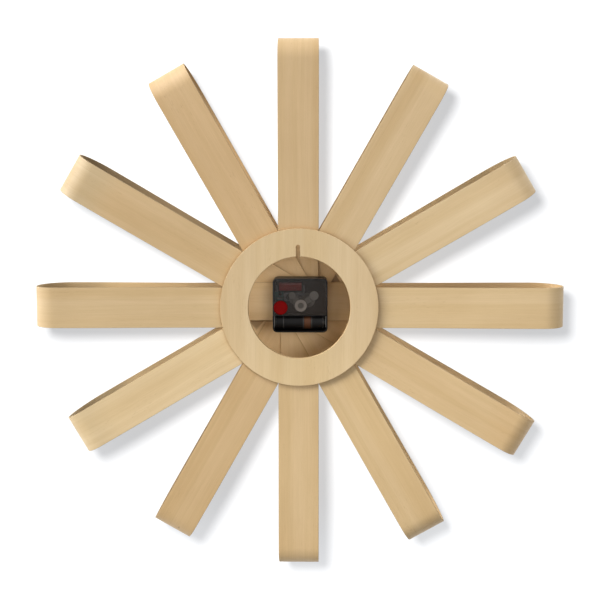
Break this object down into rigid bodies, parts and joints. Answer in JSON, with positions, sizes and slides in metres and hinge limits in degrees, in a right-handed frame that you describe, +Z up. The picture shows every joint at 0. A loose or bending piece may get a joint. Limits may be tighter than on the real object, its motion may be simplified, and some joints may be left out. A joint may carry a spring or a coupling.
{
  "type": "wall clock",
  "caption": "Round wall clock of bent wood veneer ribbons looped outwards from a rear ring, with a quartz movement at the centre and two hands.",
  "frame": {"origin": "centre of the round end of the hanging slot, in the ring's rear face, where a nail carries the clock", "axes": "+Z up, +Y out of the rear ring towards the wall, -Y out of the front with the hands, +X to the reader's right"},
  "size_m": [0.5334, 0.058, 0.535],
  "materials": {
    "veneer": "clear satin lacquer on pale veneer",
    "ply_ring": "plain plywood",
    "case_black": "black moulded plastic",
    "cover_smoke": "smoky translucent plastic",
    "plate_grey": "grey moulded plastic",
    "wheel_white": "natural acetal",
    "wheel_black": "black acetal",
    "rotor_dark": "bonded magnet and plastic pinion",
    "arbor_steel": "turned steel",
    "core_steel": "annealed soft iron",
    "bobbin": "moulded bobbin",
    "copper_wire": "red enamelled copper wire",
    "board_green": "green solder mask",
    "ic_black": "black resin",
    "can_metal": "plated can",
    "contact_nickel": "nickel plated spring steel",
    "battery_black": "printed foil sleeve",
    "knob_red": "red moulded plastic",
    "rubber": "plain",
    "brass": "bright turned brass",
    "hand_black": "matt black lacquer on aluminium"
  },
  "bodies": {
    "clock_body": {"back_ring": "ply_ring", "ribbon_9_3": "veneer", "ribbon_8_2": "veneer", "ribbon_7_1": "veneer", "ribbon_6_12": "veneer", "ribbon_5_11": "veneer", "ribbon_4_10": "veneer", "movement_case": "case_black", "back_cover": "cover_smoke", "middle_plate": "plate_grey", "circuit_board": "board_green", "ic_chip": "ic_black", "quartz_crystal": "can_metal", "coil_bobbin": "bobbin", "coil_winding": "copper_wire", "coil_core": "core_steel", "stator": "core_steel", "contact_positive": "contact_nickel", "contact_negative": "contact_nickel", "rubber_washer": "rubber", "brass_washer": "brass", "hex_nut": "brass"},
    "minute_train": {"minute_arbor": "arbor_steel", "minute_hand": "hand_black", "hand_nut": "brass"},
    "hour_train": {"hour_wheel": "wheel_white", "hour_hand": "hand_black"},
    "reverser": {"reverser_wheel": "wheel_black"},
    "setting": {"setting_knob": "knob_red"},
    "second_train": {"second_wheel": "wheel_white"},
    "rotor_body": {"rotor": "rotor_dark"},
    "intermediate": {"intermediate_wheel": "wheel_white"},
    "third": {"third_wheel": "wheel_white"},
    "centre": {"centre_wheel": "wheel_white"},
    "battery_body": {"battery": "battery_black"}
  },
  "joints": [
    {"name": "minute_hand_turn", "type": "hinge", "parent": "clock_body", "child": "minute_train", "pos_m": [-0.00165, -0.025, -0.06084], "axis": [0, 1, 0], "continuous": true},
    {"name": "hour_hand_turn", "type": "hinge", "parent": "clock_body", "child": "hour_train", "pos_m": [-0.00165, -0.025, -0.06084], "axis": [0, 1, 0], "continuous": true},
    {"name": "reverser_spin", "type": "hinge", "parent": "clock_body", "child": "reverser", "pos_m": [0.00645, -0.025, -0.06186], "axis": [0, 1, 0], "continuous": true},
    {"name": "setting_knob_turn", "type": "hinge", "parent": "clock_body", "child": "setting", "pos_m": [0.01826, -0.025, -0.06334], "axis": [0, 1, 0], "continuous": true},
    {"name": "second_wheel_spin", "type": "hinge", "parent": "clock_body", "child": "second_train", "pos_m": [-0.00165, -0.025, -0.06084], "axis": [0, 1, 0], "continuous": true},
    {"name": "rotor_spin", "type": "hinge", "parent": "clock_body", "child": "rotor_body", "pos_m": [0.01041, -0.025, -0.05313], "axis": [0, 1, 0], "continuous": true},
    {"name": "intermediate_spin", "type": "hinge", "parent": "clock_body", "child": "intermediate", "pos_m": [0.00446, -0.025, -0.05473], "axis": [0, 1, 0], "continuous": true},
    {"name": "third_wheel_spin", "type": "hinge", "parent": "clock_body", "child": "third", "pos_m": [-0.00928, -0.025, -0.05678], "axis": [0, 1, 0], "continuous": true},
    {"name": "centre_wheel_spin", "type": "hinge", "parent": "clock_body", "child": "centre", "pos_m": [-0.00165, -0.025, -0.06084], "axis": [0, 1, 0], "continuous": true},
    {"name": "battery_removal", "type": "slide", "parent": "clock_body", "child": "battery_body", "axis": [0, 1, 0], "range_m": [0, 0.03]}
  ],
  "couplings": [
    {"joint": "hour_hand_turn", "follows": "minute_hand_turn", "ratio": 0.083333},
    {"joint": "reverser_spin", "follows": "minute_hand_turn", "ratio": -0.33333},
    {"joint": "setting_knob_turn", "follows": "minute_hand_turn", "ratio": 0.35294},
    {"joint": "intermediate_spin", "follows": "second_wheel_spin", "ratio": -5},
    {"joint": "rotor_spin", "follows": "second_wheel_spin", "ratio": 30},
    {"joint": "third_wheel_spin", "follows": "second_wheel_spin", "ratio": -0.13333},
    {"joint": "centre_wheel_spin", "follows": "second_wheel_spin", "ratio": 0.016667}
  ]
}
